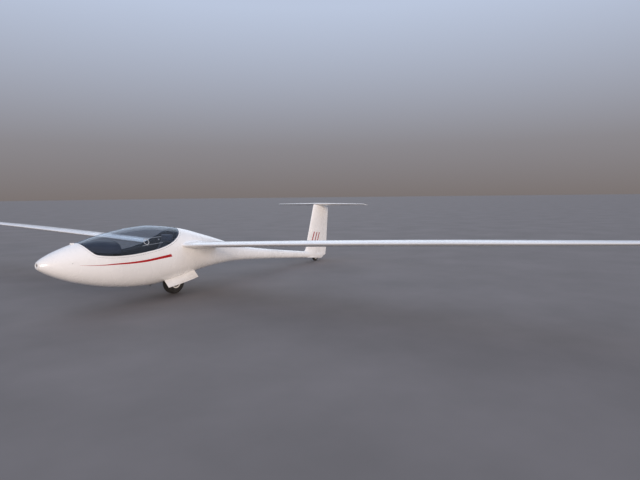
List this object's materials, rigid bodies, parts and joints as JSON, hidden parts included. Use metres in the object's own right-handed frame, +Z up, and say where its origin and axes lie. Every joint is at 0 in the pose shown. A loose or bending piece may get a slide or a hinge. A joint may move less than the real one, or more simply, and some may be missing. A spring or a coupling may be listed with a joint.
{
  "type": "single-seat sailplane glider",
  "caption": "Slender white single-seat sailplane with long tapered wings, T-tail, tinted one-piece canopy, red side stripe and lowered main wheel, parked level on its gear.",
  "frame": {"origin": "on the ground at the middle of the main tyre's contact patch", "axes": "+X forward to the nose, +Y to port along the span, +Z up; the boom is pitched 6.8 degrees nose-up on the gear"},
  "size_m": [6.7853, 14.98, 1.2917],
  "materials": {
    "gelcoat": "polished white gelcoat over glass fibre",
    "canopy_glass": "blue-grey tinted clear acrylic",
    "dark_cover": "matte dark navy anti-glare cover",
    "interior_grey": "speckled dark grey interior paint",
    "cushion": "dark blue-grey woven upholstery",
    "black_plastic": "moulded black grip",
    "blue_grip": "blue painted lever",
    "steel": "grey painted steel tube and pins",
    "aluminium": "cast and sheet aluminium",
    "tyre": "black ribbed aircraft tyre"
  },
  "bodies": {
    "root": {"fuselage_pod": "gelcoat", "tail_boom": "gelcoat", "nose_ring": "gelcoat", "fin": "gelcoat", "stabilizer": "gelcoat", "wing_left": "gelcoat", "wing_right": "gelcoat", "gear_door_left": "gelcoat", "gear_door_right": "gelcoat", "canopy_hinge": "gelcoat", "glare_shield": "dark_cover", "instrument_panel": "dark_cover", "instrument_column": "interior_grey", "seat_pan": "interior_grey", "seat_cushion": "cushion", "back_cushion": "cushion", "headrest": "cushion", "control_stick": "black_plastic", "rudder_pedals": "steel", "airbrake_lever": "blue_grip", "gear_lever": "black_plastic", "gear_fork": "steel", "tow_release": "steel", "main_axle": "steel", "tail_axle": "steel"},
    "main_wheel": {"main_tyre": "tyre", "main_rim": "aluminium"},
    "tail_wheel": {"tail_tyre": "tyre", "tail_rim": "aluminium"},
    "canopy": {"canopy_frame": "gelcoat", "canopy_glass": "canopy_glass", "vent_window": "canopy_glass"},
    "rudder": {"rudder": "gelcoat"},
    "elevator": {"elevator": "gelcoat"},
    "aileron_left": {"aileron_left": "gelcoat"},
    "aileron_right": {"aileron_right": "gelcoat"},
    "airbrake_upper_left": {"airbrake_upper_left": "gelcoat"},
    "airbrake_upper_right": {"airbrake_upper_right": "gelcoat"},
    "airbrake_lower_left": {"airbrake_lower_left": "aluminium"},
    "airbrake_lower_right": {"airbrake_lower_right": "aluminium"}
  },
  "joints": [
    {"name": "main_wheel_spin", "type": "hinge", "parent": "root", "child": "main_wheel", "pos_m": [0, 0, 0.175], "axis": [0, 1, 0], "continuous": true},
    {"name": "tail_wheel_spin", "type": "hinge", "parent": "root", "child": "tail_wheel", "pos_m": [-4.147, 0, 0.1], "axis": [0, 1, 0], "continuous": true},
    {"name": "canopy_hinge", "type": "hinge", "parent": "root", "child": "canopy", "pos_m": [1.57069, 0, 0.89829], "axis": [0, 1, 0], "range_deg": [0, 55]},
    {"name": "rudder_hinge", "type": "hinge", "parent": "root", "child": "rudder", "pos_m": [-4.42517, 0, 0.05946], "axis": [-0.1789, 0, 0.9839], "range_deg": [-30, 30]},
    {"name": "elevator_hinge", "type": "hinge", "parent": "root", "child": "elevator", "pos_m": [-4.52389, 0, 1.24209], "axis": [0, 1, 0], "range_deg": [-20, 25]},
    {"name": "aileron_left_hinge", "type": "hinge", "parent": "root", "child": "aileron_left", "pos_m": [-0.41505, 4.35, 0.88442], "axis": [0.0481, 0.9978, 0.0447], "range_deg": [-20, 20]},
    {"name": "aileron_right_hinge", "type": "hinge", "parent": "root", "child": "aileron_right", "pos_m": [-0.41505, -4.35, 0.88442], "axis": [0.0481, -0.9978, 0.0447], "range_deg": [-20, 20]},
    {"name": "airbrake_left", "type": "slide", "parent": "root", "child": "airbrake_upper_left", "axis": [-0.1183, -0.0418, 0.9921], "range_m": [0, 0.088]},
    {"name": "airbrake_right", "type": "slide", "parent": "root", "child": "airbrake_upper_right", "axis": [-0.1183, 0.0418, 0.9921], "range_m": [0, 0.088]},
    {"name": "airbrake_left_second", "type": "slide", "parent": "root", "child": "airbrake_lower_left", "axis": [-0.1183, -0.0418, 0.9921], "range_m": [0, 0.044]},
    {"name": "airbrake_right_second", "type": "slide", "parent": "root", "child": "airbrake_lower_right", "axis": [-0.1183, 0.0418, 0.9921], "range_m": [0, 0.044]}
  ],
  "couplings": [
    {"joint": "aileron_right_hinge", "follows": "aileron_left_hinge", "ratio": 1},
    {"joint": "airbrake_right", "follows": "airbrake_left", "ratio": 1},
    {"joint": "airbrake_left_second", "follows": "airbrake_left", "ratio": 0.5},
    {"joint": "airbrake_right_second", "follows": "airbrake_left", "ratio": 0.5}
  ]
}
